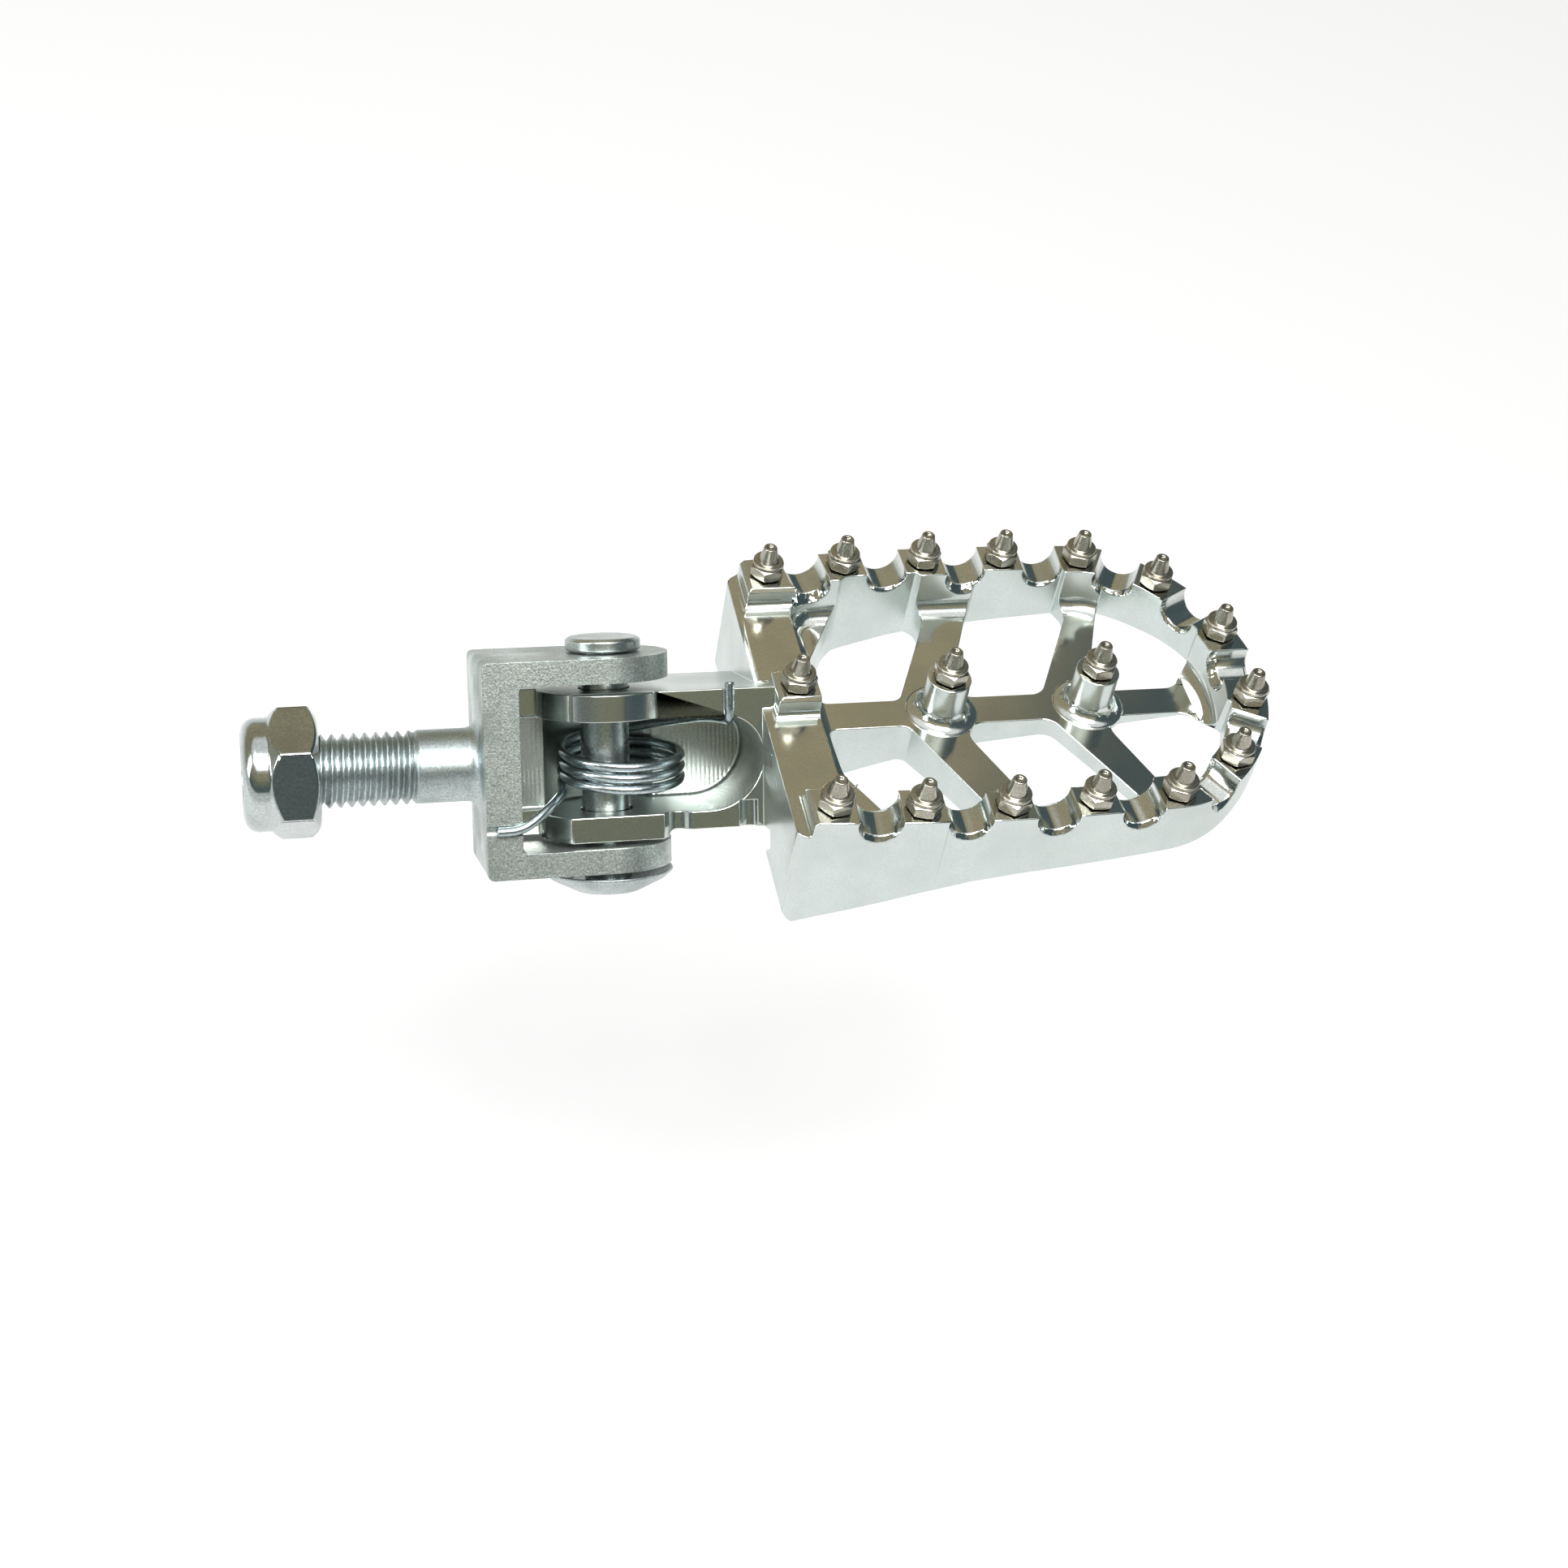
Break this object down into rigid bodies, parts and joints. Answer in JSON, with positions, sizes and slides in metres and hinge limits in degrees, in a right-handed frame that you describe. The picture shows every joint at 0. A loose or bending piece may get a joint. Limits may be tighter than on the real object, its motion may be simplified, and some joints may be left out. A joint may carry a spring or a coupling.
{
  "type": "foot peg",
  "caption": "Folding motorcycle foot peg: studded skeleton tread on a sprung hinge pin in a forged clevis with a threaded shank and lock nut.",
  "frame": {"origin": "where the axis of the threaded shank meets the back face of the clevis", "axes": "+X along the shank's axis towards the tip of the peg, +Z the normal of the tread on the studded side, +Y completes the frame; the hinge pin is perpendicular to X and turned 53 degrees about X from +Y towards +Z"},
  "size_m": [0.1713, 0.0656, 0.0426],
  "materials": {
    "peg_aluminium": "polished milled aluminium, satin on the outer skirt",
    "clevis_zinc": "grainy zinc plating on forged steel",
    "nut_plating": "bright zinc plating",
    "pin_steel": "turned and bright plated steel",
    "spring_steel": "glossy plated spring wire",
    "stud_stainless": "turned stainless steel",
    "nylon": "moulded nylon ring"
  },
  "bodies": {
    "bracket": {"clevis": "clevis_zinc", "lock_nut": "nut_plating", "lock_nut_insert": "nylon", "hinge_pin": "pin_steel", "pin_washer": "pin_steel", "pin_clip": "spring_steel", "return_spring": "spring_steel"},
    "peg": {"peg_body": "peg_aluminium", "stud_01": "stud_stainless", "stud_02": "stud_stainless", "stud_03": "stud_stainless", "stud_04": "stud_stainless", "stud_05": "stud_stainless", "stud_06": "stud_stainless", "stud_07": "stud_stainless", "stud_08": "stud_stainless", "stud_09": "stud_stainless", "stud_10": "stud_stainless", "stud_11": "stud_stainless", "stud_12": "stud_stainless", "stud_13": "stud_stainless", "stud_14": "stud_stainless", "stud_15": "stud_stainless", "stud_16": "stud_stainless", "stud_17": "stud_stainless"}
  },
  "joints": [
    {"name": "peg_fold", "type": "hinge", "parent": "bracket", "child": "peg", "pos_m": [0.0212, 0, 0], "axis": [0, -0.6018, -0.7986], "range_deg": [0, 90], "stiffness_Nm_per_rad": 0.5, "springref_deg": -28.65, "deforming": ["return_spring"]}
  ]
}
